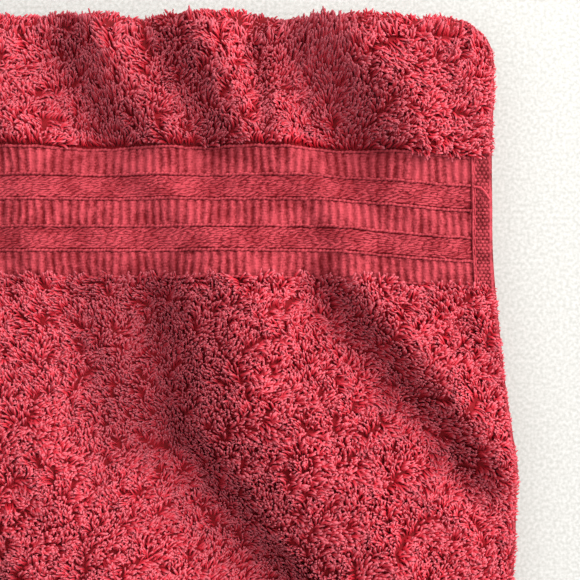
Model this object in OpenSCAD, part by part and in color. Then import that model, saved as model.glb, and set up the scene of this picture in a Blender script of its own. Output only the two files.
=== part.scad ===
// Golf towel: a thick terry towel with a woven dobby border near each end, folded in three.
// Millimetres, +Z up. The origin is on the table, under the middle of the folded packet.
// X runs across the towel, hem to hem, and Y runs along it. The three plies lie on one another
// in a zigzag: the bottom ply turns up at the front bend (-Y) into the middle ply, and the middle
// ply turns up at the back bend (+Y) into the top ply, which lies face up.

/* [Towel] */
// Finished width, from side hem to side hem
towel_w = 406; // [300:1:520]
// Finished length, from end hem to end hem
towel_l = 610; // [580:1:900]
// Thickness of one ply of terry, pile tip to pile tip
ply_t = 7.5; // [6:0.1:10]
// Clear space between two folded plies
ply_gap = 1.2; // [0.8:0.1:3]

/* [Woven border] */
// Distance from each end of the towel to its border
border_from_end = 116.5; // [90:0.5:120]
// Width of one ribbed band
rib_band_w = 7.1; // [5:0.1:9]
// Thickness of a ribbed band
rib_band_t = 2.8; // [1.5:0.1:4]
// Width of one twill band
twill_band_w = 6.4; // [5:0.1:9]
// Thickness of a twill band
twill_band_t = 2; // [1.2:0.1:4]
// Width of one raised cord between bands
cord_w = 1.35; // [0.8:0.05:2]
// Thickness of a raised cord
cord_t = 3.4; // [2:0.1:5]

/* [Hems] */
// Width of the turned hem along each long side
side_hem_w = 7.2; // [5:0.1:12]
// Thickness of a side hem
side_hem_t = 3; // [2:0.1:5]
// Width of the turned hem across each end
end_hem_w = 12; // [8:0.5:20]
// Thickness of an end hem
end_hem_t = 3.4; // [2:0.1:5]

/* [Hem stitching] */
// Thickness of the sewing thread where it lies on the cloth
thread_d = 0.5; // [0.3:0.1:0.8]
// Distance from the inner edge of a hem to its row of stitches
stitch_in = 1.2; // [0.8:0.1:3]

/* [Care label] */
// Width of the ribbon label, along the end hem
label_w = 30; // [20:1:40]
// Length of the label where it lies on the pile
label_l = 24; // [15:1:35]
// Thickness of the folded ribbon
label_t = 0.5; // [0.3:0.1:0.7]
// How far the label's end is sewn in over the end hem
label_sewn = 3; // [2:0.5:6]
// Distance from the left side of the towel to the middle of the label
label_from_side = 53; // [30:1:130]

/* [Hidden] */

PILE = [0.66, 0.21, 0.24];
WEAVE = [0.73, 0.26, 0.29];
HEM = [0.70, 0.27, 0.30];
THREAD = [0.78, 0.33, 0.37];
RIBBON = [0.92, 0.90, 0.87];
ARC = 96;

// Each bend is half a ring, so one ply lies above the next by ply_t + ply_gap.
bend_in = ply_gap / 2;
bend_out = bend_in + ply_t;
bend_mid = (bend_in + bend_out) / 2;
level = ply_t + ply_gap;

// What is left of the length once both bends are taken out is shared by the three plies, each
// rounded to ply_step so that the plies and the bends meet face to face.
ply_step = 0.2;
ply_l = round((towel_l - 2 * PI * bend_mid) / 3 / ply_step) * ply_step;
terry_w = towel_w - 2 * side_hem_w;

// Heights of the middle of each ply, and of the two fold lines between them
bottom_z = ply_t / 2;
middle_z = bottom_z + level;
top_z = middle_z + level;
front_fold_z = (bottom_z + middle_z) / 2;
back_fold_z = (middle_z + top_z) / 2;

// Across the border, from the field to the strip: cord, rib, cord, twill, cord, rib, ...
rib_pitch = rib_band_w + twill_band_w + 2 * cord_w;
border_w = 3 * rib_band_w + 2 * twill_band_w + 6 * cord_w;
border_end = border_from_end + border_w;

function rib_at(i) = border_from_end + cord_w + i * rib_pitch;
function twill_at(i) = rib_at(i) + rib_band_w + cord_w;

// Puts a ply in its place. Its own Y starts at the free end of the towel and runs to the bend.
module on_top() { translate([0, -ply_l / 2, top_z]) children(); }
module on_middle() { translate([0, -ply_l / 2, middle_z]) children(); }
module on_bottom() { translate([0, ply_l / 2, bottom_z]) rotate([0, 0, 180]) children(); }

// A flat strip across a ply, from one distance along it to another, centred in its thickness
module strip(from, to, width, thick) {
    translate([-width / 2, from, -thick / 2]) cube([width, to - from, thick]);
}

module terry_field() {
    color(PILE) strip(end_hem_w, border_from_end, terry_w, ply_t);
}

module terry_strip() {
    color(PILE) strip(border_end, ply_l, terry_w, ply_t);
}

module rib_band(i) {
    color(WEAVE) strip(rib_at(i), rib_at(i) + rib_band_w, terry_w, rib_band_t);
}

module twill_band(i) {
    color(WEAVE) strip(twill_at(i), twill_at(i) + twill_band_w, terry_w, twill_band_t);
}

// Two raised cords bound each ribbed band.
module border_cords() {
    color(WEAVE) for (i = [0:2]) {
        strip(rib_at(i) - cord_w, rib_at(i), terry_w, cord_t);
        strip(rib_at(i) + rib_band_w, rib_at(i) + rib_band_w + cord_w, terry_w, cord_t);
    }
}

// The side hems stop at the end hem, which is turned over them.
module side_hem(side, from) {
    color(HEM)
        translate([side * (towel_w - side_hem_w) / 2, 0, 0])
            strip(from, ply_l, side_hem_w, side_hem_t);
}

module end_hem() {
    color(HEM) strip(0, end_hem_w, towel_w, end_hem_t);
}

// One row of thread on each face of a hem
module thread_row(x, from, to, hem_t) {
    for (face = [-1, 1])
        translate([x - thread_d / 2, from, face * (hem_t + thread_d) / 2 - thread_d / 2])
            cube([thread_d, to - from, thread_d]);
}

module side_stitching(from) {
    color(THREAD) for (side = [-1, 1])
        thread_row(side * (terry_w / 2 + stitch_in), from, ply_l, side_hem_t);
}

module end_stitching() {
    reach = terry_w / 2 + stitch_in;
    color(THREAD)
        translate([0, end_hem_w - stitch_in, 0]) rotate([0, 0, -90])
            thread_row(0, -reach, reach, end_hem_t);
}

// Half a ring that joins two plies, bulging towards -Y, with its centre on the fold line
module half_ring(x, width, r_in, r_out) {
    translate([x - width / 2, 0, 0]) rotate([90, 0, 90])
        linear_extrude(width) intersection() {
            difference() {
                circle(r_out, $fn = ARC);
                circle(r_in, $fn = ARC);
            }
            translate([-r_out, -r_out]) square([r_out, 2 * r_out]);
        }
}

module bend() {
    color(PILE) half_ring(0, terry_w, bend_in, bend_out);
}

module bend_hems() {
    color(HEM) for (side = [-1, 1])
        half_ring(side * (towel_w - side_hem_w) / 2, side_hem_w,
            bend_mid - side_hem_t / 2, bend_mid + side_hem_t / 2);
}

module at_front() { translate([0, -ply_l / 2, front_fold_z]) children(); }
module at_back() { translate([0, ply_l / 2, back_fold_z]) rotate([0, 0, 180]) children(); }

// A folded ribbon, caught under the end hem and lying against the back of the top ply
module ribbon_label() {
    left = label_from_side - (towel_w + label_w) / 2;
    root = end_hem_w - label_sewn;
    color(RIBBON) translate([left, root, 0]) {
        translate([0, 0, -ply_t / 2 - label_t]) cube([label_w, label_l, label_t]);
        translate([0, 0, -ply_t / 2]) cube([label_w, label_t, (ply_t - end_hem_t) / 2]);
    }
}

module bottom_terry_field() { on_bottom() terry_field(); }
module bottom_terry_strip() { on_bottom() terry_strip(); }
module bottom_rib_band_1() { on_bottom() rib_band(0); }
module bottom_rib_band_2() { on_bottom() rib_band(1); }
module bottom_rib_band_3() { on_bottom() rib_band(2); }
module bottom_twill_band_1() { on_bottom() twill_band(0); }
module bottom_twill_band_2() { on_bottom() twill_band(1); }
module bottom_border_cords() { on_bottom() border_cords(); }
module bottom_side_hem_left() { on_bottom() side_hem(1, end_hem_w); }
module bottom_side_hem_right() { on_bottom() side_hem(-1, end_hem_w); }
module bottom_end_hem() { on_bottom() end_hem(); }
module bottom_stitching() { on_bottom() { side_stitching(end_hem_w); end_stitching(); } }

module front_bend() { at_front() bend(); }
module front_bend_hems() { at_front() bend_hems(); }

module middle_terry() { color(PILE) on_middle() strip(0, ply_l, terry_w, ply_t); }
module middle_side_hem_left() { on_middle() side_hem(-1, 0); }
module middle_side_hem_right() { on_middle() side_hem(1, 0); }
module middle_stitching() { on_middle() side_stitching(0); }

module back_bend() { at_back() bend(); }
module back_bend_hems() { at_back() bend_hems(); }

module top_terry_field() { on_top() terry_field(); }
module top_terry_strip() { on_top() terry_strip(); }
module top_rib_band_1() { on_top() rib_band(0); }
module top_rib_band_2() { on_top() rib_band(1); }
module top_rib_band_3() { on_top() rib_band(2); }
module top_twill_band_1() { on_top() twill_band(0); }
module top_twill_band_2() { on_top() twill_band(1); }
module top_border_cords() { on_top() border_cords(); }
module top_side_hem_left() { on_top() side_hem(-1, end_hem_w); }
module top_side_hem_right() { on_top() side_hem(1, end_hem_w); }
module top_end_hem() { on_top() end_hem(); }
module top_stitching() { on_top() { side_stitching(end_hem_w); end_stitching(); } }
module care_label() { on_top() ribbon_label(); }

bottom_terry_field();
bottom_terry_strip();
bottom_rib_band_1();
bottom_rib_band_2();
bottom_rib_band_3();
bottom_twill_band_1();
bottom_twill_band_2();
bottom_border_cords();
bottom_side_hem_left();
bottom_side_hem_right();
bottom_end_hem();
bottom_stitching();
front_bend();
front_bend_hems();
middle_terry();
middle_side_hem_left();
middle_side_hem_right();
middle_stitching();
back_bend();
back_bend_hems();
top_terry_field();
top_terry_strip();
top_rib_band_1();
top_rib_band_2();
top_rib_band_3();
top_twill_band_1();
top_twill_band_2();
top_border_cords();
top_side_hem_left();
top_side_hem_right();
top_end_hem();
top_stitching();
care_label();
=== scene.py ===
"""Golf towel: a thick coral red terry towel with woven dobby borders, folded in a zigzag and laid flat.

Everything is built in cloth coordinates: x across the towel, s along it from the free end of the top
ply to the free end of the bottom ply, and h out of its face side, from the middle of the cloth.
place() folds those coordinates into the row frame, in metres.
"""
import math

import bpy
import numpy as np
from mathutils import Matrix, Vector


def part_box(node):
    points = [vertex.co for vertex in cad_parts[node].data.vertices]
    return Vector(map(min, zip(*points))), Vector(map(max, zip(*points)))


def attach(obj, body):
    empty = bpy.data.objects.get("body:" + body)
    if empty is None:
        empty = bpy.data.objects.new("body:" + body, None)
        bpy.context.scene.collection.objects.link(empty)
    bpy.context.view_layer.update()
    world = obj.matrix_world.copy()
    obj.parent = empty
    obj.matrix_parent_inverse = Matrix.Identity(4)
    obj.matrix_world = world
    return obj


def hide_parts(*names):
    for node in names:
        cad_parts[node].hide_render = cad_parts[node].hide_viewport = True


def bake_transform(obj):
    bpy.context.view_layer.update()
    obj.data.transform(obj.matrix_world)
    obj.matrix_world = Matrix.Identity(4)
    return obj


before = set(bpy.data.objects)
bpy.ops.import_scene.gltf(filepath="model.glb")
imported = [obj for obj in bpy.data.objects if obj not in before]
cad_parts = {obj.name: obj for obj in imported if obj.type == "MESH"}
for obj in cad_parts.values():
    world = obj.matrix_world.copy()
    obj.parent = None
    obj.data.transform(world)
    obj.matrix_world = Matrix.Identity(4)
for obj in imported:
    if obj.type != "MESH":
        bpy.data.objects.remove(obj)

MM = 0.001
TAU = 2 * math.pi
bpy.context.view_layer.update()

# ---------------- camera
LENS = 50
VIEW_WIDTH = 181.25 * MM
VIEW_CENTRE = (138.9 * MM, 16 * MM, 24 * MM)

camera_data = bpy.data.cameras.new("camera")
camera_data.lens = LENS
camera_data.clip_start = 0.01
camera = bpy.data.objects.new("camera", camera_data)
camera.location = Vector(VIEW_CENTRE) + Vector((0, 0, VIEW_WIDTH * LENS / camera_data.sensor_width))
bpy.context.scene.collection.objects.link(camera)
bpy.context.scene.camera = camera

# ---------------- sizes, from the frame
top_low, top_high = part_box("top_terry_strip")
hem_low, hem_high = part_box("top_side_hem_right")
end_low, end_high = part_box("top_end_hem")
middle_low, middle_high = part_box("middle_terry")
bottom_low, bottom_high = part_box("bottom_terry_field")
cords_low, cords_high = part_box("top_border_cords")

HALF_W = hem_high.x
HEM_X = hem_low.x                        # inner edge of a side hem
HEM_W = HALF_W - HEM_X
HALF_L = top_high.y
PLY_L = 2 * HALF_L
PLY_H = (top_high.z - top_low.z) / 2     # pile tips stand this far from the middle of the cloth
TOP_Z = (top_low.z + top_high.z) / 2
MIDDLE_Z = (middle_low.z + middle_high.z) / 2
BOTTOM_Z = (bottom_low.z + bottom_high.z) / 2
BEND_R = (TOP_Z - MIDDLE_Z) / 2
BEND_L = math.pi * BEND_R
LEAST_R = 0.3 * MM                       # nothing comes nearer than this to the middle of a bend
TOWEL_L = 3 * PLY_L + 2 * BEND_L
END_HEM_W = end_high.y - end_low.y
END_HEM_H = (end_high.z - end_low.z) / 2
SIDE_HEM_H = (hem_high.z - hem_low.z) / 2
GROUND_H = 1.7 * MM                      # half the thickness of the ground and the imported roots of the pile
THIN_H = 0.4 * MM                        # and of the ground alone, under the border and the hems
ROOT_H = 0.9 * MM                        # how high the loose strands start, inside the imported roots

# Where each part of the towel starts along it
BACK_BEND_S = PLY_L
MIDDLE_S = BACK_BEND_S + BEND_L
FRONT_BEND_S = MIDDLE_S + PLY_L
BOTTOM_S = FRONT_BEND_S + BEND_L
BORDER_LOW = cords_low.y + HALF_L
BORDER_HIGH = cords_high.y + HALF_L

# ---------------- the lie of the cloth
CORNER_R = 17 * MM         # how far the soft corners are rounded
CORNER_DROP = 0.35         # and how far they dip, as a share of how far they are drawn in
FLARE = 7 * MM             # how much further out the sides lie at the front than at the back
FLARE_Y = (-40 * MM, 45 * MM)    # where that starts and ends, towards the front
SIDE_OUT = 0.4 * MM        # how far out both sides lie at the back
EDGE_DROOP = 3.4 * MM      # how far the top ply dips towards its side hems
DROOP_W = 30 * MM          # and over what width
BOW = 3.6 * MM             # how far the border bows down where it nears the right side hem
BOW_X = (140 * MM, 200 * MM)     # where the bow starts, and where it is full
BOW_Y, BOW_HALF = 40 * MM, 42 * MM
CREST = 4.2 * MM           # what rises more than this above the ply is pressed down,
CREST_SOFT = 1.8 * MM      # so that it rises at most this much more
BORDER_HOLD = 0.5          # share of each crease that the firm border holds flat
BORDER_EASE = (-4 * MM, 8 * MM)  # how far inside its edges that starts, and is full
BEND_HOLD = 0.45           # share of all relief that the bends hold flat
BEND_EASE = 9 * MM         # how far short of them that starts
SWELL_H, RIPPLE_H = 0.7 * MM, 0.5 * MM
SIDE_WAVE_H, END_WAVE_H = 0.7 * MM, 1.3 * MM
CREASE_FADE = 1.3          # how fast a crease fades past its ends, in half widths
FLOOR_GAP = 1.0 * MM       # below this height the pile is pressed flat on the floor

# Soft creases, all in millimetres: points down the line of each, half its width, and its height. The
# cloth dips to the left of the line, climbs across it and makes a low ridge to the right.
CREASES = [
    (((152, 19), (155, 13), (169, -6), (184, -27), (192, -42)), 6.2, 5.3),
    (((106, 18), (109, 4), (110, -10), (112, -26), (119, -42), (131, -60), (144, -78), (156, -97)),
     11.5, 8.8),
    (((97, 12), (98, -6), (103, -30)), 7.5, 4.2),
    (((82, 16), (82, -6), (88, -26)), 11.0, 3.4),
    (((99, 104), (101, 96), (110, 79), (116, 64)), 8.5, 5.4),
    (((143, 104), (146, 94), (158, 76), (164, 66)), 10.5, 6.0),
    (((129, 101), (129, 94), (132, 67)), 3.0, 1.6),
    (((69, 102), (74, 90), (83, 73), (93, 60)), 10.5, 6.0),
    (((30, 100), (42, 60), (50, 30)), 9.0, 3.0),
    (((20, 5), (30, -40), (55, -92)), 9.0, 3.6),
    (((-50, 84), (-30, 40), (-8, 8)), 8.0, 2.6),
    (((-92, 12), (-70, -40), (-45, -88)), 10.0, 3.6),
    (((-150, 99), (-130, 70), (-112, 40)), 8.0, 3.0),
    (((-172, -2), (-150, -45), (-140, -88)), 8.0, 3.2),
]
# Low ridges over the border, in millimetres: start and end in x and y, half width and height
RIDGES = [
    (58, -38, 84, -84, 14, 3.2),
    (144, -34, 162, -78, 14, 2.4),
    (88, 57, 131, 21, 6, 1.6),
    (137, 64, 158, 30, 6, 2.0),
    (-20, 60, 10, 22, 7, 1.4),
    (-110, 62, -90, 22, 7, 1.5),
]


def waves(seed, longest, count=7):
    """A smooth random function of two coordinates, about -1 to 1.

    It adds up count waves, each between half of longest and longest.
    """
    draw = np.random.default_rng(seed)
    turns = draw.uniform(0, TAU, count)
    phases = draw.uniform(0, TAU, count)
    numbers = TAU / (longest * draw.uniform(0.5, 1, count))

    def field(x, y):
        total = 0
        for turn, phase, number in zip(turns, phases, numbers):
            total = total + np.sin(number * (x * math.cos(turn) + y * math.sin(turn)) + phase)
        return total / math.sqrt(count)

    return field


def smooth(value, low, high):
    """0 below low, 1 above high, and a smooth step between them."""
    t = np.clip((value - low) / (high - low), 0, 1)
    return t * t * (3 - 2 * t)


swell = waves(3, 110 * MM)
ripple = waves(4, 34 * MM)
side_wave = waves(5, 70 * MM)
end_wave = waves(6, 46 * MM)


def gap_to(x, y, x0, y0, x1, y1):
    """The way from a line's nearest point, split into past its ends and to its left, in millimetres."""
    along_x, along_y = x1 - x0, y1 - y0
    length = math.hypot(along_x, along_y)
    along_x, along_y = along_x / length, along_y / length
    from_x, from_y = x / MM - x0, y / MM - y0
    run = from_x * along_x + from_y * along_y
    past = run - np.clip(run, 0, length)
    return past, from_y * along_x - from_x * along_y


def creases(x, y):
    """The height that the creases give the cloth, and from 0 to 1 how near the steep side of one is."""
    rise, steep = 0 * x, 0 * x
    for points, half, height in CREASES:
        best = np.full(np.shape(x), np.inf)
        across, beyond = 0 * x, 0 * x
        last = len(points) - 2
        for k in range(last + 1):
            past, left = gap_to(x, y, *points[k], *points[k + 1])
            gap = np.hypot(past, left)
            open_end = (k == 0) & (past < 0) | (k == last) & (past > 0)
            near = gap < best
            best = np.where(near, gap, best)
            across = np.where(near, np.where(open_end, left, np.sign(left) * gap), across)
            beyond = np.where(near, np.where(open_end, past, 0), beyond)
        fade = np.exp(-(beyond / (CREASE_FADE * half)) ** 2)
        rise = rise + fade * height * across / half * np.exp(0.5 - 0.5 * (across / half) ** 2)
        steep = np.maximum(steep, fade * np.exp(-(across / half) ** 2))
    return rise * MM, steep


def relief(x, y):
    """How far the top ply lies above or below its middle height."""
    from_low, from_high = y + HALF_L - BORDER_LOW, BORDER_HIGH - HALF_L - y
    stiff = BORDER_HOLD * smooth(from_low, *BORDER_EASE) * smooth(from_high, *BORDER_EASE)
    rise = SWELL_H * swell(x, y) + RIPPLE_H * ripple(x, y) + creases(x, y)[0] * (1 - stiff)
    for x0, y0, x1, y1, half, height in RIDGES:
        past, left = gap_to(x, y, x0, y0, x1, y1)
        rise = rise + height * MM * np.exp(-(past ** 2 + left ** 2) / half ** 2)
    rise = np.where(rise > CREST, CREST + CREST_SOFT * np.tanh((rise - CREST) / CREST_SOFT), rise)
    rise = rise - EDGE_DROOP * smooth(np.abs(x), HALF_W - DROOP_W, HALF_W)
    return rise * (1 - BEND_HOLD * smooth(np.abs(y), HALF_L - BEND_EASE, HALF_L + BEND_R))


def lay(x, y, z):
    """Gives the neat folded packet the lie of soft cloth: round corners, wavy edges and creases."""
    up = z / TOP_Z
    end_y = HALF_L + BEND_R + PLY_H
    a = np.clip((np.abs(x) - HALF_W + CORNER_R) / CORNER_R, 0, 1.2)
    b = np.clip((np.abs(y) - end_y + CORNER_R) / CORNER_R, 0, 1.2)
    in_x = a * (1 - np.sqrt(1 - np.minimum(b, 1) ** 2 / 2)) * CORNER_R
    in_y = b * (1 - np.sqrt(1 - np.minimum(a, 1) ** 2 / 2)) * CORNER_R
    near_side = smooth(np.abs(x), 0.5 * HALF_W, HALF_W)
    near_end = smooth(np.abs(y), 0.6 * HALF_L, HALF_L)
    flare = SIDE_OUT + FLARE * smooth(-y, *FLARE_Y)
    out_x = near_side * (flare + SIDE_WAVE_H * side_wave(4 * z, y)) - in_x
    out_y = near_end * END_WAVE_H * end_wave(x, 3 * z) - in_y
    drop = CORNER_DROP * (in_x + in_y) * up
    bow = BOW * smooth(x, *BOW_X) * np.exp(-((y - BOW_Y) / BOW_HALF) ** 2) * up
    laid = z + up * relief(x, y) - drop
    pressed = FLOOR_GAP * np.exp(np.minimum(laid / FLOOR_GAP - 1, 0))
    return x + np.sign(x) * out_x, y + np.sign(y) * out_y - bow, np.maximum(laid, pressed)


def fold(s, h):
    """y and z of a point that is h out of the cloth's face at s along it."""
    ranges = [s <= BACK_BEND_S, s < MIDDLE_S, s <= FRONT_BEND_S, s < BOTTOM_S]
    a = (s - BACK_BEND_S) / BEND_R
    b = (s - FRONT_BEND_S) / BEND_R
    outer = np.maximum(BEND_R + h, LEAST_R)
    inner = np.maximum(BEND_R - h, LEAST_R)
    back_z = (TOP_Z + MIDDLE_Z) / 2
    front_z = (MIDDLE_Z + BOTTOM_Z) / 2
    y = np.select(ranges, [
        s - HALF_L,
        HALF_L + outer * np.sin(a),
        HALF_L - (s - MIDDLE_S),
        -HALF_L - inner * np.sin(b),
    ], s - BOTTOM_S - HALF_L)
    z = np.select(ranges, [
        TOP_Z + h,
        back_z + outer * np.cos(a),
        MIDDLE_Z - h,
        front_z + inner * np.cos(b),
    ], BOTTOM_Z + h)
    return y, z


def place(x, s, h):
    y, z = fold(s, h)
    return np.stack(lay(x, y, z), axis=-1)


def place_turned(x, s, h):
    """place() for the other end of the towel, which is woven the same with its x and s turned about."""
    return place(-x, TOWEL_L - s, h)


# ---------------- meshes from arrays
def grid_quads(rows, columns, closed=False):
    """Quads of a grid of rows x columns points; closed joins the last column to the first."""
    r = np.arange(rows - 1)[:, None]
    c = np.arange(columns if closed else columns - 1)[None, :]
    a, b = r * columns + c, r * columns + (c + 1) % columns
    return np.stack([a, b, b + columns, a + columns], -1).reshape(-1, 4)


def two_sided(rows, columns):
    """Quads of a closed sheet, its rim's last, whose faces are such grids, and how many the rim has."""
    count = rows * columns
    index = np.arange(count).reshape(rows, columns)
    rim = np.concatenate([index[0, :-1], index[:-1, -1], index[-1, :0:-1], index[:0:-1, 0]])
    following = np.roll(rim, -1)
    sheet = grid_quads(rows, columns)
    edge = np.stack([following, rim, rim + count, following + count], -1)
    return np.concatenate([sheet, sheet[:, ::-1] + count, edge]), len(rim)


def slab(xs, ss, height, at=place, raised=None):
    """A closed sheet over a grid of x and s, height(x, s) thick to each side of the middle of the cloth.

    raised turns those heights into the value that its material reads, which paints shade where the cloth is
    low and light where it is high.
    """
    gx, gs = np.meshgrid(xs, ss)
    up = height(gx, gs)
    points = np.concatenate([at(gx, gs, h).reshape(-1, 3) for h in (up, -up)])
    quads, n_rim = two_sided(*gx.shape)
    u = (gx - xs[0]) / (xs[-1] - xs[0])
    v = (gs - ss[0]) / (ss[-1] - ss[0])
    # In the UV map the face lies below 0.48, the back above 0.52 and the rim between them.
    flat = np.stack([u, v * 0.48], -1).reshape(-1, 2)
    flat = np.concatenate([flat, flat + (0, 0.52)])
    uv = flat[quads]
    k = np.arange(n_rim) / n_rim
    uv[-n_rim:, :, 0] = np.stack([k + 1 / n_rim, k, k, k + 1 / n_rim], -1)
    uv[-n_rim:, :, 1] = (0.49, 0.49, 0.51, 0.51)
    high = np.full(2 * gx.size, 0.5)
    if raised is not None:
        high = np.tile(raised(up).ravel(), 2)
    return {"points": points, "quads": quads, "quad_uv": uv, "values": {"raised": high}}


BLUNT = 0.6                # how far a tube's ends stand out, in its radii


def tubes(paths, radii, sides, squash=1.0):
    """Closed tubes round many paths at once, in the paths' own axes, whose third is out of the cloth.

    paths is tubes x rings x 3 and radii tubes x rings. Gives the points, tubes x points x 3: those
    of the rings, and one a little way out at each end.
    """
    ahead = np.gradient(paths, axis=1)
    ahead /= np.linalg.norm(ahead, axis=-1, keepdims=True)
    side = np.stack([-ahead[..., 1], ahead[..., 0], np.zeros(ahead.shape[:-1])], -1)
    side /= np.maximum(np.linalg.norm(side, axis=-1, keepdims=True), 1e-9)
    over = np.cross(ahead, side) * squash
    turn = (np.arange(sides) * TAU / sides)[:, None]
    ring = side[..., None, :] * np.cos(turn) + over[..., None, :] * np.sin(turn)
    rings = paths[..., None, :] + ring * radii[..., None, None]
    root = paths[:, :1] - ahead[:, :1] * radii[:, :1, None] * BLUNT
    tip = paths[:, -1:] + ahead[:, -1:] * radii[:, -1:, None] * BLUNT
    return np.concatenate([rings.reshape(len(paths), -1, 3), root, tip], 1)


def tube_mesh(points, rings, sides, values):
    """The faces and UVs that go with tubes(). values are one number for each tube and point, by name."""
    count, each = points.shape[:2]
    quads = grid_quads(rings, sides, closed=True)
    around = np.arange(sides)
    last = (rings - 1) * sides
    root = np.stack([np.roll(around, -1), around, np.full(sides, each - 2)], -1)
    tip = np.stack([last + around, last + np.roll(around, -1), np.full(sides, each - 1)], -1)
    caps = np.concatenate([root, tip])
    first = np.arange(count)[:, None, None] * each
    quads = (quads[None] + first).reshape(-1, 4)
    caps = (caps[None] + first).reshape(-1, 3)
    u = np.append(np.tile(1 - np.abs(2 * around / sides - 1), rings), (0.5, 0.5))
    v = np.append(np.repeat(np.linspace(0.1, 0.9, rings), sides), (0, 1))
    # In the UV map each tube fills the middle of its own square cell.
    cells = math.ceil(math.sqrt(count))
    spot = np.arange(count)[:, None]
    uv = np.stack([(spot % cells + 0.15 + 0.7 * u) / cells, (spot // cells + 0.15 + 0.7 * v) / cells], -1)
    uv = uv.reshape(-1, 2)
    return {"points": points.reshape(-1, 3), "quads": quads, "quad_uv": uv[quads],
            "tris": caps, "tri_uv": uv[caps], "values": {k: v.ravel() for k, v in values.items()}}


def mesh_object(name, parts, material):
    """One smooth-shaded object from mesh parts, with its UVs and its values as attributes."""
    me = bpy.data.meshes.new(name)
    points = np.concatenate([part["points"] for part in parts])
    first = np.cumsum([0] + [len(part["points"]) for part in parts])
    loops, uvs, counts = [], [], []
    for faces, uv in (("quads", "quad_uv"), ("tris", "tri_uv")):
        having = [k for k, part in enumerate(parts) if faces in part]
        loops += [(parts[k][faces] + first[k]).ravel() for k in having]
        uvs += [parts[k][uv].reshape(-1, 2) for k in having]
        counts.append(sum(len(parts[k][faces]) for k in having))
    loops = np.concatenate(loops)
    n_quads, n_tris = counts
    starts = np.concatenate([np.arange(n_quads) * 4, n_quads * 4 + np.arange(n_tris) * 3])
    me.vertices.add(len(points))
    me.vertices.foreach_set("co", points.astype(np.float32).ravel())
    me.loops.add(len(loops))
    me.loops.foreach_set("vertex_index", loops.astype(np.int32))
    me.polygons.add(len(starts))
    me.polygons.foreach_set("loop_start", starts.astype(np.int32))
    me.update(calc_edges=True)
    me.shade_smooth()
    layer = me.uv_layers.new(name="OFBake")
    layer.data.foreach_set("uv", np.concatenate(uvs).astype(np.float32).ravel())
    for key in parts[0]["values"]:
        layer = me.attributes.new(key, "FLOAT", "POINT")
        both = np.concatenate([part["values"][key] for part in parts])
        layer.data.foreach_set("value", both.astype(np.float32))
    me.materials.append(material)
    ob = bpy.data.objects.new(name, me)
    bpy.context.scene.collection.objects.link(ob)
    return ob


def steps(low, high, pitch):
    return np.linspace(low, high, max(2, round(abs(high - low) / pitch) + 1))


# ---------------- materials
def linear(r, g, b):
    """Scene-linear colour from 0-255 display values."""
    return tuple(((v / 255 + 0.055) / 1.055) ** 2.4 for v in (r, g, b)) + (1.0,)


def new_material(name):
    m = bpy.data.materials.new(name)
    m.use_nodes = True
    return m, m.node_tree, m.node_tree.nodes["Principled BSDF"]


def add(nt, kind, **settings):
    n = nt.nodes.new("ShaderNode" + kind)
    for key, value in settings.items():
        if key in n.inputs:
            n.inputs[key].default_value = value
        else:
            setattr(n, key, value)
    return n


def wire(source, output, target, socket):
    source.id_data.links.new(source.outputs[output], target.inputs[socket])


def cotton(bsdf, specular=0.15, sheen=0.06):
    bsdf.inputs["Specular IOR Level"].default_value = specular
    bsdf.inputs["Sheen Weight"].default_value = sheen
    bsdf.inputs["Sheen Roughness"].default_value = 0.4
    bsdf.inputs["Sheen Tint"].default_value = linear(255, 130, 150)


def uneven(nt, bsdf, noise, bump, distance, low, high):
    """Lets a noise dent the surface, and vary its roughness from low to high."""
    dent = add(nt, "Bump", **{"Strength": bump, "Distance": distance})
    rough = add(nt, "MapRange", **{"To Min": low, "To Max": high})
    wire(noise, "Fac", dent, "Height")
    wire(noise, "Fac", rough, "Value")
    wire(dent, "Normal", bsdf, "Normal")
    wire(rough, "Result", bsdf, "Roughness")


def pile_material():
    """Cotton pile: darker towards the roots as painted shade and lighter and pinker at the tips as a painted
    highlight; each strand a little different, and darker still where painted shade is given to it.
    """
    m, nt, bsdf = new_material("terry_pile")
    along = add(nt, "Attribute", attribute_name="along")
    tone_and_shade = add(nt, "Attribute", attribute_name="tone_and_shade")
    # Root to tip ramp: its dark root colours are painted shade down in the pile, its pale tip colour a
    # painted highlight.
    ramp = add(nt, "ValToRGB")
    ramp.color_ramp.elements[0].color = linear(162, 2, 20)
    ramp.color_ramp.elements[1].color = linear(198, 92, 103)
    for place_on, colour in ((0.35, (172, 16, 32)), (0.75, (188, 50, 63))):
        ramp.color_ramp.elements.new(place_on).color = linear(*colour)
    # The per-strand value scales the ramp: random variation, and painted shade on the steep side of creases
    # and at the edges of tufts.
    shift = add(nt, "HueSaturation")
    value = add(nt, "MapRange", **{"To Min": 0.66, "To Max": 1.15})
    where = add(nt, "TexCoord")
    twist = add(nt, "TexNoise", **{"Scale": 2600.0, "Detail": 2.0})
    wire(along, "Fac", ramp, "Fac")
    wire(ramp, "Color", shift, "Color")
    wire(tone_and_shade, "Fac", value, "Value")
    wire(value, "Result", shift, "Value")
    wire(shift, "Color", bsdf, "Base Color")
    wire(where, "Object", twist, "Vector")
    uneven(nt, bsdf, twist, 0.5, 0.1 * MM, 0.5, 0.75)
    cotton(bsdf, 0.12, 0.2)
    return m


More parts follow.
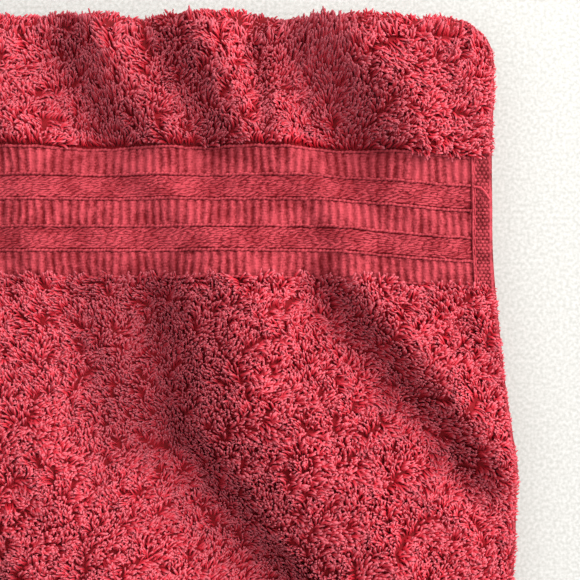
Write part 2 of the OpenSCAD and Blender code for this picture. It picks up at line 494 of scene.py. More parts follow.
def weave_material(name, low, high, scale, stretch=(1, 1, 1), bump=0.9, height_shade_share=0.5):
    """Flat woven cotton: painted shade where it dips and painted light where it stands up, mixed with
    yarn-sized mottling.
    """
    m, nt, bsdf = new_material(name)
    where = add(nt, "TexCoord")
    fit = add(nt, "Mapping")
    fit.inputs["Scale"].default_value = stretch
    fine = add(nt, "TexNoise", **{"Scale": scale, "Detail": 4.0, "Roughness": 0.65})
    broad = add(nt, "TexNoise", **{"Scale": 160.0, "Detail": 2.0})
    raised = add(nt, "Attribute", attribute_name="raised")
    mottle = add(nt, "Math", operation="ADD")
    spread = add(nt, "MapRange", **{"From Min": 0.91, "From Max": 1.09})
    # A share of the colour follows the height value: painted shade in the dips, painted light on the tops;
    # the rest is random mottling.
    blend = add(nt, "Mix", data_type="FLOAT")
    blend.inputs["Factor"].default_value = height_shade_share
    mix = add(nt, "Mix", data_type="RGBA")
    mix.inputs["A"].default_value = linear(*low)
    mix.inputs["B"].default_value = linear(*high)
    wire(where, "Object", fit, "Vector")
    wire(fit, "Vector", fine, "Vector")
    wire(where, "Object", broad, "Vector")
    wire(broad, "Fac", mottle, 0)
    wire(fine, "Fac", mottle, 1)
    wire(mottle, "Value", spread, "Value")
    wire(spread, "Result", blend, "A")
    wire(raised, "Fac", blend, "B")
    wire(blend, "Result", mix, "Factor")
    wire(mix, "Result", bsdf, "Base Color")
    uneven(nt, bsdf, fine, bump, 0.4 * MM, 0.62, 0.9)
    cotton(bsdf)
    return m


PILE = pile_material()
# The terry ground is coloured darker than the yarn of its pile, as painted shade between the tufts.
GROUND = weave_material("terry_ground", (96, 0, 8), (118, 2, 15), 900, height_shade_share=0)
# In the border, hem and thread materials the low colour stands for painted shade in the dips and the high
# colour for painted light on the tops, mixed with random mottling.
RIB = weave_material("border_rib", (96, 0, 10), (186, 68, 78), 1500, height_shade_share=0.6)
TWILL = weave_material("border_twill", (112, 0, 14), (180, 64, 74), 1300, (0.6, 1.3, 1))
HEM = weave_material("hem_cloth", (84, 0, 8), (177, 62, 72), 1300)
THREAD = weave_material("thread", (150, 20, 34), (190, 66, 78), 2600, (1, 0.3, 1))
RIBBON = weave_material("ribbon", (214, 208, 200), (240, 236, 230), 2200, (3, 0.4, 1), 0.2, 0)

# ---------------- ground cloth
ground_wave = waves(11, 3.2 * MM, 9)
GROUND_WAVE_H = 0.25 * MM
GROUND_IN = 1.2 * MM       # the ground stops this far inside the rolled edges
THINNING = 1.2 * MM        # and thins over this way towards the hems and the borders


def inside(value, low, high):
    """1 between low and high, falling to 0 over a short way inside them."""
    return smooth(value, low, low + THINNING) * (1 - smooth(value, high - THINNING, high))


def ground_height(x, s):
    field = inside(s, END_HEM_W, BORDER_LOW)
    between = inside(s, BORDER_HIGH, TOWEL_L - BORDER_HIGH)
    far_field = inside(s, TOWEL_L - BORDER_LOW, TOWEL_L - END_HEM_W)
    thick = (field + between + far_field) * (1 - smooth(np.abs(x), HEM_X - THINNING, HEM_X))
    return THIN_H + (GROUND_H + GROUND_WAVE_H * ground_wave(x, s) - THIN_H) * thick


def ground(name, s_low, s_high, pitch=1.6 * MM, pitch_x=1.8 * MM):
    xs = np.concatenate([[-HALF_W + GROUND_IN], steps(-HEM_X, HEM_X, pitch_x), [HALF_W - GROUND_IN]])
    return mesh_object(name, [slab(xs, steps(s_low, s_high, pitch), ground_height)], GROUND)


top_cloth = ground("top_cloth", GROUND_IN, BACK_BEND_S)
middle_cloth = ground("middle_cloth", MIDDLE_S, FRONT_BEND_S, 2.4 * MM, 2.4 * MM)
bottom_cloth = ground("bottom_cloth", BOTTOM_S, TOWEL_L - GROUND_IN, 1.6 * MM, 2.4 * MM)
back_bend_cloth = ground("back_bend_cloth", BACK_BEND_S, MIDDLE_S, 0.9 * MM)
front_bend_cloth = ground("front_bend_cloth", FRONT_BEND_S, BOTTOM_S, 0.9 * MM)

# ---------------- woven border
# Heights are from the middle of the cloth.
RIB_PITCH = 2.62 * MM
RIB_LOW, RIB_HIGH = 0.8 * MM, 1.5 * MM   # between the ribs, and on top of them
RIB_SWAY = 0.1             # how far the ribs wander, as a share of their pitch
BEAD_PITCH = 0.9 * MM      # from one bead of a rib to the next
BEAD_DEPTH = 0.42          # how deep the dips between beads are, as a share of a rib's height
GRAIN = 0.6 * MM           # how far apart the yarn's own lumps are
GRAIN_H = 0.3 * MM         # and how much they differ in height
TUCK = 0.3                 # share of a cord's width that a ribbed band reaches in under it
TWILL_H = 0.75 * MM        # the thin ground of a twill band
FLOAT_H = 0.24 * MM        # how far the middle of a float lies above that
FLOAT_L, FLOAT_T = 2.8 * MM, 0.7 * MM          # length and thickness of a float
FLOAT_PITCH, FLOAT_ROW = 2.3 * MM, 0.71 * MM   # from float to float in a row, and from row to row
FLOAT_SLOPE, SLOPE_SPREAD = 13, 11             # degrees
CORD_H = 1.85 * MM         # half a cord's thickness
CORD_SWAY = 0.13 * MM      # how far it wanders to each side

rib_sway = waves(31, 22 * MM)
rib_size = waves(32, 5 * MM)
cord_sway = waves(33, 9 * MM)


def chance(a, b, seed):
    """A fixed random number from 0 to 1 for each whole a and b."""
    value = np.sin(a * 12.9898 + b * 78.233 + seed * 37.719) * 43758.5453
    return value - np.floor(value)


def grain(x, s):
    return GRAIN_H * (chance(np.round(x / GRAIN), np.round(s / GRAIN), 6) - 0.5)


def band_range(node):
    low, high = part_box(node)
    return low.y + HALF_L, high.y + HALF_L


def rib_height(x, s):
    """Ribs across the band, each a column of small beads, half a step from its neighbour's."""
    across = 0.5 + 0.5 * np.cos(TAU * (x / RIB_PITCH + RIB_SWAY * rib_sway(x, s)))
    beads = (np.round(2 * s / BEAD_PITCH) + np.floor(x / RIB_PITCH + 0.5)) % 2
    rise = across ** 0.8 * (1 - BEAD_DEPTH * (1 - beads) + 0.1 * rib_size(x, s))
    return RIB_LOW + (RIB_HIGH - RIB_LOW) * rise + grain(x, s)


def rib_band(name, s_low, s_high, at, fine):
    """One ribbed band, with the same ribs on both faces."""
    half_bead = BEAD_PITCH / 2
    rows = half_bead * np.arange(math.ceil(s_low / half_bead), math.floor(s_high / half_bead) + 1)
    # Colour value from the rib height: the grooves and the dips between beads are painted shade.
    part = slab(steps(-HEM_X, HEM_X, fine), rows, rib_height, at,
                lambda h: np.clip((h - RIB_LOW) / (RIB_HIGH - RIB_LOW), 0, 1))
    return mesh_object(name, [part], RIB)


FLOAT_DIP = 0.35 * MM      # how much lower a float's ends lie than its middle


def floats(x, s, slope, length, thick, crest, face, at, rings=5, sides=5):
    """Short lengths of yarn round x and s that rise out of the cloth, run at a slope and dip back in.

    They are thinner towards their ends, and painted darker where they dip in, as shade.
    """
    t = np.linspace(-1, 1, rings)[None, :]
    run = length[:, None] / 2 * t
    paths = np.stack([
        x[:, None] + run * np.cos(slope)[:, None],
        s[:, None] + run * np.sin(slope)[:, None],
        face * (crest - FLOAT_DIP * t ** 4 + 0 * run)], -1)
    radii = thick[:, None] / 2 * (1 - 0.35 * t ** 4)
    points = tubes(paths, radii, sides, 0.8)
    # Painted shade: the colour value falls towards the ends where the float dips in, and is low on the end
    # caps.
    high = np.repeat(np.clip(0.9 - 0.6 * np.abs(t[0]) ** 3, 0, 1), sides)
    high = np.tile(np.append(high, (0.2, 0.2)), (len(x), 1))
    return tube_mesh(at(points[..., 0], points[..., 1], points[..., 2]), rings, sides, {"raised": high})


def twill_band(name, s_low, s_high, at, seed, shown):
    """One twill band: rows of slanting floats over a thin ground, on both faces."""
    draw = np.random.default_rng(seed)
    rows = np.arange(s_low + FLOAT_ROW / 2, s_high - FLOAT_ROW / 4, FLOAT_ROW)
    places = np.arange(-HEM_X, HEM_X, FLOAT_PITCH)
    x, s = np.meshgrid(places, rows)
    x = x + chance(np.arange(len(rows)), 0, 8)[:, None] * FLOAT_PITCH
    keep = np.abs(x) < HEM_X - FLOAT_L / 3
    x, s = x[keep], s[keep]
    n = len(x)
    # The thin ground between the floats gets a low colour value, as painted shade.
    parts = [slab(steps(-HEM_X, HEM_X, 2 * MM), steps(s_low, s_high, 1 * MM),
                  lambda x, s: 0 * x + TWILL_H, at, lambda h: 0 * h + 0.2)]
    for face in (1, -1):
        fine = {} if shown and face > 0 else {"rings": 3, "sides": 4}
        parts.append(floats(
            x + 0.25 * MM * draw.normal(size=n), s + 0.08 * MM * draw.normal(size=n),
            np.radians(FLOAT_SLOPE + SLOPE_SPREAD * draw.normal(size=n)), FLOAT_L * draw.uniform(0.7, 1.3, n),
            FLOAT_T * draw.uniform(0.75, 1.3, n), TWILL_H + FLOAT_H, face, at, **fine))
    return mesh_object(name, parts, TWILL)


def cord(s_low, s_high, at, fine):
    """A raised cord across the cloth, twisted so that it looks like a row of slanting stitches.

    Each stitch makes it wider and higher, and stitches come twice to each rib. Its colour is painted lighter
    on its top and on each stitch, and darker as painted shade down its flanks.
    """
    x = steps(-HEM_X, HEM_X, fine)
    sides = 8
    path = np.stack([x, (s_low + s_high) / 2 + CORD_SWAY * cord_sway(x, s_low), 0 * x], -1)
    half_w = (s_high - s_low) / 2 * (1.0 + 0.08 * rib_size(x, s_low))
    points = tubes(path[None], half_w[None], sides)
    around = np.append(np.tile(np.arange(sides) / sides, len(x)), (0, 0))
    where = np.append(np.repeat(x, sides), (x[0], x[-1]))
    stitch = 0.5 + 0.5 * np.cos(TAU * (2 * where / RIB_PITCH + around + 0.25 * cord_sway(where, s_high)))
    middle = np.append(np.repeat(path[:, 1], sides), path[[0, -1], 1])
    points[0, :, 1] = middle + (points[0, :, 1] - middle) * (0.7 + 0.3 * stitch)
    points[..., 2] *= (CORD_H - 0.1 * MM + 0.25 * MM * stitch) / np.mean(half_w)
    # Painted light and shade: the colour value rises with height above the cloth and with each stitch.
    high = np.clip(np.abs(points[..., 2]) / CORD_H * (0.45 + 0.55 * stitch), 0, 1)
    return tube_mesh(at(points[..., 0], points[..., 1], points[..., 2]), len(x), sides, {"raised": high})


def border(end, at, fine):
    """All of one border's pieces, by the node that each replaces."""
    pieces = {}
    cords = []
    for i in (1, 2, 3):
        low, high = band_range(f"top_rib_band_{i}")
        width = (BORDER_HIGH - BORDER_LOW - 3 * (high - low) - 2 * TWILL_W) / 6
        under = TUCK * width
        pieces[f"{end}_rib_band_{i}"] = rib_band(f"{end}_ribs_{i}", low - under, high + under, at, fine)
        cords.append(cord(low - width, low, at, fine))
        cords.append(cord(high, high + width, at, fine))
    for i in (1, 2):
        low, high = band_range(f"top_twill_band_{i}")
        pieces[f"{end}_twill_band_{i}"] = twill_band(f"{end}_twill_{i}", low, high, at, 50 + i, end == "top")
    pieces[f"{end}_border_cords"] = mesh_object(f"{end}_cords", cords, RIB)
    return pieces


twill_low, twill_high = band_range("top_twill_band_1")
TWILL_W = twill_high - twill_low
top_border = border("top", place, RIB_PITCH / 10)
bottom_border = border("bottom", place_turned, 0.5 * MM)

# ---------------- hems
DOT_X, DOT_S = 1.35 * MM, 1.12 * MM    # basket weave of the side hems
DOT_SINK, DOT_H = 0.55 * MM, 0.75 * MM # how deep it lies, and how high its dots stand in it
END_DOT_X, END_DOT_S = 2.2 * MM, 2.0 * MM
END_DOT_H = 0.3 * MM                   # the end hems' dots stand up to the hem's full height
LIP, LIP_H = 0.9 * MM, 0.35 * MM       # width and height of the rolled inner edge of a side hem
ROLL = 1.2 * MM                        # width of the rolled outer edge
TWIST_H, TWIST_PITCH = 0.12 * MM, 1.1 * MM   # slanting threads over both edges
HEM_WAVE_H = 0.1 * MM
HEM_EDGE_H = 0.12 * MM                 # half the thickness that is left at the very edge
hem_wave = waves(41, 7 * MM)


def hem_object(name, *parts):
    return mesh_object(name, parts, HEM)


def basket(x, s, pitch_x, pitch_s):
    """A basket weave's dots, from 0 to 1, each row half a step from the next."""
    row = np.round(s / pitch_s)
    wave = np.cos(math.pi * (x / pitch_x + 0.5 * (row % 2))) * np.cos(math.pi * s / pitch_s)
    return np.clip(1.3 * np.abs(wave), 0, 1) ** 0.8


def rounded(way_in, radius):
    """The height of a round edge, from 0 at the edge itself to 1 where it is a radius in."""
    return np.sqrt(1 - (1 - np.clip(way_in / radius, 0, 1)) ** 2)


def side_hem_height(x, s):
    """Basket weave between a raised lip at the inner edge and a rolled outer edge."""
    d = np.clip(np.abs(x) - HEM_X, 0, HEM_W)
    lip_rise = LIP_H * np.exp(-((d - 0.5 * LIP) / (0.45 * LIP)) ** 2)
    flat = smooth(d, LIP, LIP + 0.5 * MM) * (1 - smooth(d, HEM_W - 1.4 * ROLL, HEM_W - ROLL))
    dots = (DOT_H * basket(d - LIP, s, DOT_X, DOT_S) - DOT_SINK) * flat
    twist = TWIST_H * np.abs(np.sin(math.pi * (s + 0.9 * d) / TWIST_PITCH)) * (1 - flat)
    height = SIDE_HEM_H - 0.15 * MM + lip_rise + dots + twist + HEM_WAVE_H * hem_wave(x, s)
    return np.maximum(height * rounded(HEM_W - d, ROLL) * rounded(d, LIP / 2), HEM_EDGE_H)


def side_hem(side, s_low, s_high, at, fine_low=0, fine_high=0):
    """A turned side hem. Its mesh is fine between fine_low and fine_high, where no pile hides its weave."""
    ss, pitch_x = steps(s_low, s_high, 1.3 * MM), 0.6 * MM
    if fine_high > fine_low:
        pitch_x = 0.2 * MM
        ss = np.concatenate([steps(s_low, fine_low, 1.6 * MM)[:-1], steps(fine_low, fine_high, 0.28 * MM),
                             steps(fine_high, s_high, 1.6 * MM)[1:]])
    # Colour value from height: the net between the dots is painted shade, the dots and lip painted lighter.
    return slab(np.sort(side * steps(HEM_X, HALF_W, pitch_x)), ss, side_hem_height, at,
                lambda h: np.clip((h - 0.95 * MM) / (0.6 * MM), 0, 1))


def end_hem_height(x, s):
    """Basket weave with a rolled free edge at s = 0, and a rounded inner edge and sides."""
    edges = rounded(s, ROLL) * rounded(END_HEM_W - s, LIP / 2) * rounded(HALF_W - np.abs(x), ROLL)
    weave = END_DOT_H * (basket(x, s, END_DOT_X, END_DOT_S) - 1)
    return np.maximum((END_HEM_H + weave + HEM_WAVE_H * hem_wave(x, s)) * edges, HEM_EDGE_H)


def end_hem(name, at):
    # The colour value rises with the weave's height: its hollows are painted shade.
    return hem_object(name, slab(
        steps(-HALF_W, HALF_W, 0.6 * MM), steps(0, END_HEM_W, 0.6 * MM), end_hem_height, at,
        lambda h: np.clip((h - 1.2 * MM) / (0.4 * MM), 0, 1)))


# The bottom ply is laid out from the far end of the towel, so its left hem is the one at high x.
TOP_RUN = (END_HEM_W, PLY_L, place, BORDER_LOW, BORDER_HIGH)
MIDDLE_RUN = (MIDDLE_S, FRONT_BEND_S, place)
BOTTOM_RUN = (END_HEM_W, PLY_L, place_turned, BORDER_LOW, BORDER_HIGH)
hems = {
    "top_side_hem_left": hem_object("top_hem_left", side_hem(-1, *TOP_RUN)),
    "top_side_hem_right": hem_object("top_hem_right", side_hem(1, *TOP_RUN)),
    "top_end_hem": end_hem("top_end_weave", place),
    "bottom_side_hem_left": hem_object("bottom_hem_left", side_hem(1, *BOTTOM_RUN)),
    "bottom_side_hem_right": hem_object("bottom_hem_right", side_hem(-1, *BOTTOM_RUN)),
    "bottom_end_hem": end_hem("bottom_end_weave", place_turned),
    "middle_side_hem_left": hem_object("middle_hem_left", side_hem(-1, *MIDDLE_RUN)),
    "middle_side_hem_right": hem_object("middle_hem_right", side_hem(1, *MIDDLE_RUN)),
}
back_bend_hems, front_bend_hems = (
    hem_object(name, *(side_hem(side, low, high, place) for side in (-1, 1)))
    for name, low, high in (("back_bend_edges", BACK_BEND_S, MIDDLE_S),
                            ("front_bend_edges", FRONT_BEND_S, BOTTOM_S)))

# ---------------- stitching
STITCH = 2.7 * MM          # length of one stitch
STITCH_PITCH = 3.2 * MM
THREAD_T = 0.45 * MM
STITCH_IN = 1.2 * MM       # how far outside a hem's inner edge its row of stitches lies


def stitch_row(xs, ss, slope, crest, at):
    """A row of lockstitches on each face of a hem."""
    n = len(xs)
    return [floats(xs, ss, np.full(n, slope), np.full(n, STITCH), np.full(n, THREAD_T), crest, face, at)
            for face in (1, -1)]


def side_stitches(s_low, s_high, at):
    parts = []
    ss = np.arange(s_low + STITCH_PITCH / 2, s_high, STITCH_PITCH)
    for side in (-1, 1):
        x = side * (HEM_X + STITCH_IN) + 0 * ss
        parts += stitch_row(x, ss, math.pi / 2, SIDE_HEM_H + 0.15 * MM, at)
    return parts


def end_stitches(at):
    reach = HEM_X + STITCH_IN
    xs = np.arange(-reach + STITCH_PITCH / 2, reach, STITCH_PITCH)
    return stitch_row(xs, 0 * xs + END_HEM_W - STITCH_IN, 0.0, END_HEM_H + 0.05 * MM, at)


def loose_thread(at):
    """One broken end of yarn that lies slantwise on the right hem, beside the border."""
    rings, sides = 14, 6
    t = np.linspace(0, 1, rings)
    x = HEM_X + (0.6 + 5.2 * t) * MM
    s = BORDER_HIGH - (9.5 + 3.6 * t - 1.3 * np.sin(math.pi * t)) * MM
    h = SIDE_HEM_H + (0.3 + 0.35 * np.sin(math.pi * t)) * MM
    points = tubes(np.stack([x, s, h], -1)[None], np.full((1, rings), 0.34 * MM), sides)
    light = np.full(points.shape[:2], 1.4)
    return tube_mesh(at(points[..., 0], points[..., 1], points[..., 2]), rings, sides, {"raised": light})


def run_stitches(at):
    """The stitches of an outer ply: along both side hems and across the end hem."""
    return side_stitches(END_HEM_W, PLY_L, at) + end_stitches(at)


stitches = {
    "top_stitching": mesh_object("top_stitches", run_stitches(place) + [loose_thread(place)], THREAD),
    "middle_stitching": mesh_object("middle_stitches", side_stitches(*MIDDLE_RUN), THREAD),
    "bottom_stitching": mesh_object("bottom_stitches", run_stitches(place_turned), THREAD),
}

# ---------------- care label
label_low, label_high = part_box("care_label")
LABEL_T = 0.16 * MM


def ribbon():
    """Two layers of plain satin ribbon, folded at the far end, lying against the back of the top ply."""
    s_low, s_high = label_low.y + HALF_L, label_high.y + HALF_L
    length = s_high - s_low
    t = np.linspace(0, 1, 61)
    run = np.where(t < 0.5, 2 * t, 2 - 2 * t) * length
    gap = 0.34 * MM * np.sqrt(np.clip(run / length, 0, 1)) * np.sign(t - 0.5)
    near = smooth(run, 0, 4 * MM)
    height = -(END_HEM_H * 0.6) * (1 - near) - (PLY_H + 0.18 * MM) * near - gap * 0.5

    xs = steps(label_low.x + 0.4 * MM, label_high.x - 0.4 * MM, 0.8 * MM)
    gx, gt = np.meshgrid(xs, np.arange(len(t)))
    wave = 0.05 * MM * np.sin(gx / (3.1 * MM) + run[gt] / (5 * MM))
    h = height[gt] + wave
    s = s_low + run[gt]
    points = np.concatenate([place(gx, s, h + off).reshape(-1, 3) for off in (LABEL_T / 2, -LABEL_T / 2)])
    quads, _ = two_sided(*gx.shape)
    uv = np.stack([gx / HALF_W, gt / len(t)], -1).reshape(-1, 2)
    uv = np.concatenate([uv, uv])[quads]
    return {"points": points, "quads": quads, "quad_uv": uv, "values": {"raised": np.full(2 * gx.size, 0.5)}}


care_label = mesh_object("ribbon_label", [ribbon()], RIBBON)

# ---------------- pile
SHOWN = 1.6                # strands to the square millimetre where the folded towel shows its face
BENT = 1.4                 # round the outside of the bends
BENT_IN = 0.3              # round the inside of them
EDGES = 3.0                # round the outer edges of the side hems
HIDDEN = 0.12              # and on the faces that are seen only when the towel is opened

nap_broad = waves(21, 90 * MM)
nap_fine = waves(22, 24 * MM)
tone_wave = waves(24, 30 * MM)


def clumps(x, s, pitch):
    """The way to the middle of each strand's tuft, and two random numbers for that tuft."""
    best = np.full(x.shape, np.inf)
    to_x, to_s, first, second = (np.zeros(x.shape) for _ in range(4))
    for i in (-1, 0, 1):
        for j in (-1, 0, 1):
            cx, cs = np.floor(x / pitch) + i, np.floor(s / pitch) + j
            dx = (cx + chance(cx, cs, 1)) * pitch - x
            ds = (cs + chance(cx, cs, 2)) * pitch - s
            near = dx * dx + ds * ds < best
            best = np.where(near, dx * dx + ds * ds, best)
            to_x, to_s = np.where(near, dx, to_x), np.where(near, ds, to_s)
            first = np.where(near, chance(cx, cs, 3), first)
            second = np.where(near, chance(cx, cs, 4), second)
    return to_x, to_s, first, second


def nap(x, s):
    """Which way the pile lies, in radians from x: up the towel, and outwards towards its sides."""
    base = 82 - 40 * smooth(x, 60 * MM, HALF_W) + 70 * smooth(-x, 40 * MM, HALF_W)
    return np.radians(base + 26 * nap_broad(x, s) + 26 * nap_fine(x, s))


TUFT = 4.4 * MM            # about how far apart the tufts of the pile are
GATHER = 0.13              # how far a strand's tip is drawn to the middle of its tuft
COMBED = 0.2               # share of the usual disorder that is left in combed pile
STRAND_SIDES = 3


def round_bends(s, h):
    """How much shorter than at the middle of the cloth a step along it is at height h, round a bend."""
    back = (s > BACK_BEND_S) & (s < MIDDLE_S)
    front = (s > FRONT_BEND_S) & (s < BOTTOM_S)
    bent = np.where(back, 1, 0) - np.where(front, 1, 0)
    squeeze = BEND_R / np.maximum(BEND_R + bent * h, 4 * LEAST_R)
    return np.where(bent == 0, 1, squeeze)


def strands(name, roots, seed, rings=4, length=3.8 * MM, thick=0.88 * MM, lie=20, stand=72, comb=None):
    """Pile: one curved, blunt strand of yarn at each root, which is an x, s, height and lean.

    A strand leaves the cloth at about stand degrees to it and ends at about lie degrees, and it curls
    to one side with the rest of its tuft. On the steep side of a crease the strands stand up more and are
    shorter, and their colour is darkened there as painted shade; strands towards the edge of a tuft are
    shorter and darkened as painted shade between tufts. comb is the way that combed pile lies, in radians
    from x, in place of the nap.
    """
    draw = np.random.default_rng(seed)
    x, s, h, lean = roots
    count = len(x)
    to_x, to_s, first, second = clumps(x, s, TUFT)
    # How near each strand on top stands to the steep side of a crease: it stands the strand up, shortens it,
    # and darkens its colour as painted shade.
    crease_lift_and_shade = np.zeros(count)
    on_top = (s < MIDDLE_S) & (np.abs(lean) < 1)
    crease_lift_and_shade[on_top] = creases(x[on_top], s[on_top] - HALF_L)[1]
    loose = 1 if comb is None else COMBED
    heading = nap(x, s) if comb is None else comb
    heading = heading + loose * np.radians(80 * (first - 0.5) + 13 * draw.normal(size=count))
    curl = loose * np.radians(180 * (second - 0.5) + 38 * draw.normal(size=count))
    end_rise = np.radians(lie + 12 * crease_lift_and_shade + 24 * (second - 0.5) + 12 * draw.normal(size=count))
    start_rise = np.radians(stand + np.clip(8 * draw.normal(size=count), -22, 16))
    size = length * np.clip(1 + 0.15 * draw.normal(size=count), 0.6, 1.25) * (1 - 0.15 * crease_lift_and_shade)
    size = size * (0.5 + 0.5 * smooth(HALF_W - np.abs(x), 0, 7 * MM))
    # How far out in its tuft a strand stands: it shortens the strand, and darkens its colour as painted shade
    # between tufts.
    outer = smooth(np.hypot(to_x, to_s), 0.2 * TUFT, 0.75 * TUFT)
    size = size * (1.18 - 0.33 * outer)
    width = thick / 2 * np.clip(1 + 0.2 * draw.normal(size=count), 0.55, 1.5)
    t = np.linspace(0, 1, rings)[None, :]
    turn = heading[:, None] + curl[:, None] * t ** 1.5
    rise = start_rise[:, None] + (end_rise - start_rise)[:, None] * t ** 0.6
    step = np.stack([np.cos(rise) * np.cos(turn), np.cos(rise) * np.sin(turn), np.sin(rise)], -1)
    step = step * (size / (rings - 1))[:, None, None]
    path = np.concatenate([np.zeros((count, 1, 3)), np.cumsum((step[:, 1:] + step[:, :-1]) / 2, 1)], 1)
    gather = GATHER * t ** 1.5
    path[..., 0] += to_x[:, None] * gather
    path[..., 1] += to_s[:, None] * gather
    shape = 1 - 0.25 * (1 - t) ** 2 - 0.3 * t ** 5
    local = tubes(path, width[:, None] * shape, STRAND_SIDES)
    out_x, out_h = np.sin(lean)[:, None], np.cos(lean)[:, None]
    dx = local[..., 0] * out_h + local[..., 2] * out_x
    dh = local[..., 2] * out_h - local[..., 0] * out_x
    up = h[:, None] + dh
    points = place(x[:, None] + dx, s[:, None] + local[..., 1] * round_bends(s[:, None], up), up)
    along = np.append(np.repeat(t[0], STRAND_SIDES), (0, 1))
    tone_and_shade = 0.68 + 0.08 * draw.normal(size=count) + 0.25 * (second - 0.5) + 0.08 * tone_wave(x, s)
    # Painted shade: darker on the steep side of creases and towards the edges of tufts.
    tone_and_shade = np.clip(tone_and_shade - 0.9 * crease_lift_and_shade - 0.25 * outer, 0, 1)
    values = {"along": np.tile(along, (count, 1)), "tone_and_shade": np.repeat(tone_and_shade[:, None], points.shape[1], 1)}
    return mesh_object(name, [tube_mesh(points, rings, STRAND_SIDES, values)], PILE)


def scatter(low_a, high_a, low_b, high_b, density, draw):
    """Jittered points over a rectangle, about density of them to the square millimetre."""
    pitch = MM / math.sqrt(density)
    a, b = (np.arange(low + pitch / 2, high, pitch) for low, high in ((low_a, high_a), (low_b, high_b)))
    a, b = np.meshgrid(a, b)
    jitter = draw.uniform(-0.5, 0.5, (2, *a.shape)) * pitch
    return (a + jitter[0]).ravel(), (b + jitter[1]).ravel()


def flat_roots(x_low, x_high, s_ranges, face, density, seed):
    """Roots over one face of the cloth, between two x and over one or more ranges of s."""
    draw = np.random.default_rng(seed)
    spots = [scatter(x_low, x_high, low, high, density, draw) for low, high in s_ranges]
    x = np.concatenate([spot[0] for spot in spots])
    s = np.concatenate([spot[1] for spot in spots])
    hem = np.abs(x) > HEM_X
    h = np.where(hem, 0.75 * SIDE_HEM_H, ROOT_H) * face
    return x, s, h, np.full(x.shape, 0.0 if face > 0 else math.pi)


EDGE_R = 1.2 * MM          # radius of the line that they stand on, round a rolled edge
EDGE_TURN = 0.8 * math.pi  # how far round it they go
EDGE_ROOT_IN = 1.1 * MM    # how far inside the edge they start


def edge_roots(s_ranges, seed):
    """Roots round the rolled outer edge of both side hems."""
    draw = np.random.default_rng(seed)
    arc = EDGE_TURN * EDGE_R
    parts = []
    for side in (-1, 1):
        for low, high in s_ranges:
            a, s = scatter(0, arc, low, high, EDGES, draw)
            lean = side * (math.pi / 2 + (a / arc - 0.5) * EDGE_TURN)
            x = side * (HALF_W - EDGE_R - EDGE_ROOT_IN) + EDGE_R * np.sin(lean)
            parts.append((x, s, EDGE_R * np.cos(lean), lean))
    return [np.concatenate(column) for column in zip(*parts)]


EDGE_IN = 2.0 * MM         # pile on the faces stops this far inside the outline
PILE_X = HALF_W - EDGE_IN
TOP_PILE_S = [(END_HEM_W + 0.3 * MM, BORDER_LOW), (BORDER_HIGH, BACK_BEND_S)]
MIDDLE_PILE_S = [(MIDDLE_S, FRONT_BEND_S)]
BOTTOM_PILE_S = [(TOWEL_L - high, TOWEL_L - low) for low, high in TOP_PILE_S]


def face_pile(name, s_ranges, face, density, root_seed, seed, x_low=-PILE_X, x_high=PILE_X, **kind):
    return strands(name, flat_roots(x_low, x_high, s_ranges, face, density, root_seed), seed, **kind)


def edge_pile(name, s_ranges, root_seed, seed, length=3.4 * MM):
    return strands(name, edge_roots(s_ranges, root_seed), seed, length=length, thick=0.4 * MM, lie=30)


def hidden_pile(name, s_ranges, face, root_seed, seed):
    """Fewer and thicker strands, for the faces that are seen only when the towel is opened."""
    return face_pile(name, s_ranges, face, HIDDEN, root_seed, seed, rings=3, thick=1.3 * MM, length=4.0 * MM)


def bend_pile(name, s_range, outer, seed):
    """Pile on both faces and both edges of a bend: dense on its outer face, which shows.

    On its inner face it lies along x, so that it isn't stretched when the bend opens.
    """
    return [
        face_pile(f"{name}_outer_pile", [s_range], outer, BENT, seed, seed + 1,
                  length=2.7 * MM, thick=0.72 * MM, lie=16),
        face_pile(f"{name}_inner_pile", [s_range], -outer, BENT_IN, seed + 2, seed + 3,
                  rings=3, length=2.6 * MM, thick=0.9 * MM, lie=6, stand=30, comb=0.0),
        edge_pile(f"{name}_edge_pile", [s_range], seed + 4, seed + 5, 3.2 * MM),
    ]


COLUMNS = 11               # the pile that shows is split into this many pieces, side by side
column_x = [-PILE_X + 2 * PILE_X * k / COLUMNS for k in range(COLUMNS + 1)]
pile = {
    "top_panel": [
        *(face_pile(f"top_pile_{i + 1}", TOP_PILE_S, 1, SHOWN, 100 + i, 200 + i, column_x[i], column_x[i + 1])
          for i in range(COLUMNS)),
        edge_pile("top_edge_pile", TOP_PILE_S, 120, 220, 3.2 * MM),
        hidden_pile("top_back_pile", TOP_PILE_S, -1, 121, 221),
    ],
    "middle_panel": [
        hidden_pile("middle_face_pile", MIDDLE_PILE_S, 1, 122, 222),
        hidden_pile("middle_back_pile", MIDDLE_PILE_S, -1, 123, 223),
        edge_pile("middle_edge_pile", MIDDLE_PILE_S, 124, 224),
    ],
    "bottom_panel": [
        hidden_pile("bottom_face_pile", BOTTOM_PILE_S, 1, 125, 225),
        hidden_pile("bottom_back_pile", BOTTOM_PILE_S, -1, 126, 226),
        edge_pile("bottom_edge_pile", BOTTOM_PILE_S, 127, 227),
    ],
}
back_pile = bend_pile("back_bend", (BACK_BEND_S, MIDDLE_S), 1, 130)
front_pile = bend_pile("front_bend", (FRONT_BEND_S, BOTTOM_S), -1, 140)


def stand_for(piece, body, *nodes):
    """The piece rides on a body in place of CAD nodes, which are hidden."""
    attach(piece, body)
    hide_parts(*nodes)


stand_for(top_cloth, "top_panel", "top_terry_field", "top_terry_strip")
stand_for(middle_cloth, "middle_panel", "middle_terry")
stand_for(bottom_cloth, "bottom_panel", "bottom_terry_field", "bottom_terry_strip")
stand_for(care_label, "top_panel", "care_label")
detail = {**top_border, **bottom_border, **hems, **stitches}
for node, piece in detail.items():
    stand_for(piece, node.split("_")[0] + "_panel", node)
for body, pieces in pile.items():
    for piece in pieces:
        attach(piece, body)

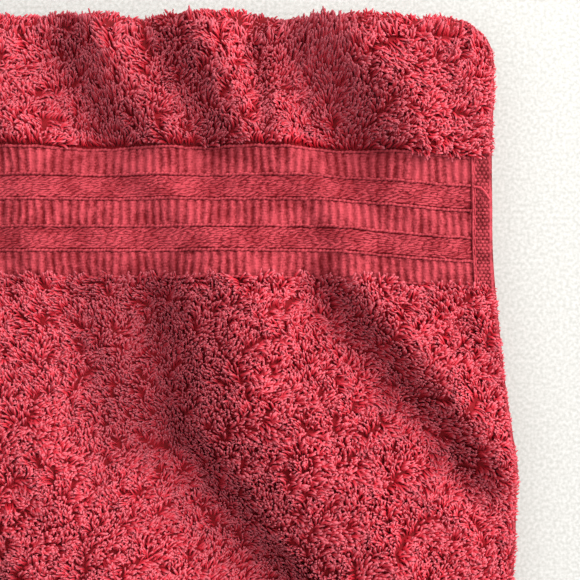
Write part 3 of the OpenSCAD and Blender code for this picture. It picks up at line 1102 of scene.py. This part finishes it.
BLEND_IN = 1.4 * MM
BACK_TURN = ("middle_panel", "top_panel", (0, 0, MIDDLE_Z + BLEND_IN), (0, 0, TOP_Z - BLEND_IN))
FRONT_TURN = ("bottom_panel", "middle_panel", (0, 0, BOTTOM_Z + BLEND_IN), (0, 0, MIDDLE_Z - BLEND_IN))
for turn, cloth, edges, pieces, nodes in (
        (BACK_TURN, back_bend_cloth, back_bend_hems, back_pile, ("back_bend", "back_bend_hems")),
        (FRONT_TURN, front_bend_cloth, front_bend_hems, front_pile, ("front_bend", "front_bend_hems"))):
    for piece in (cloth, edges, *pieces):
        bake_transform(piece)
    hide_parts(nodes[0])
    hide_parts(nodes[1])


# ---------------- floor and light
def floor_material():
    m, nt, bsdf = new_material("floor")
    where = add(nt, "TexCoord")
    speckle = add(nt, "TexNoise", **{"Scale": 900.0, "Detail": 3.0})
    ramp = add(nt, "ValToRGB")
    ramp.color_ramp.elements[0].position = 0.35
    ramp.color_ramp.elements[1].position = 0.65
    ramp.color_ramp.elements[0].color = linear(168, 167, 162)
    ramp.color_ramp.elements[1].color = linear(188, 187, 183)
    wire(where, "Object", speckle, "Vector")
    wire(speckle, "Fac", ramp, "Fac")
    wire(ramp, "Color", bsdf, "Base Color")
    bsdf.inputs["Roughness"].default_value = 0.7
    return m


FLOOR = 1.5
floor_points = np.array([[-FLOOR, -FLOOR, 0], [FLOOR, -FLOOR, 0], [FLOOR, FLOOR, 0], [-FLOOR, FLOOR, 0]])
floor_part = {"points": floor_points, "quads": np.array([[0, 1, 2, 3]]),
              "quad_uv": np.array([[0, 0], [1, 0], [1, 1], [0, 1]]), "values": {}}
mesh_object("floor", [floor_part], floor_material())


def area_light(name, at, size, power, colour):
    data = bpy.data.lights.new(name, "AREA")
    data.shape = "DISK"
    data.size, data.energy, data.color = size, power, colour
    ob = bpy.data.objects.new(name, data)
    ob.location = at
    ob.rotation_mode = "QUATERNION"
    ob.rotation_quaternion = (-Vector(at)).to_track_quat("-Z", "Y")
    bpy.context.scene.collection.objects.link(ob)


area_light("key", (1.15, 0.7, 0.95), 1.8, 59, (1.0, 0.99, 0.97))
area_light("fill", (-0.7, -0.5, 1.4), 1.2, 8, (0.97, 0.98, 1.0))
world = bpy.data.worlds.new("studio")
world.use_nodes = True
background = world.node_tree.nodes["Background"]
background.inputs["Color"].default_value = (0.95, 0.97, 1.0, 1)
background.inputs["Strength"].default_value = 0.75
bpy.context.scene.world = world
bpy.context.scene.view_settings.view_transform = "Standard"
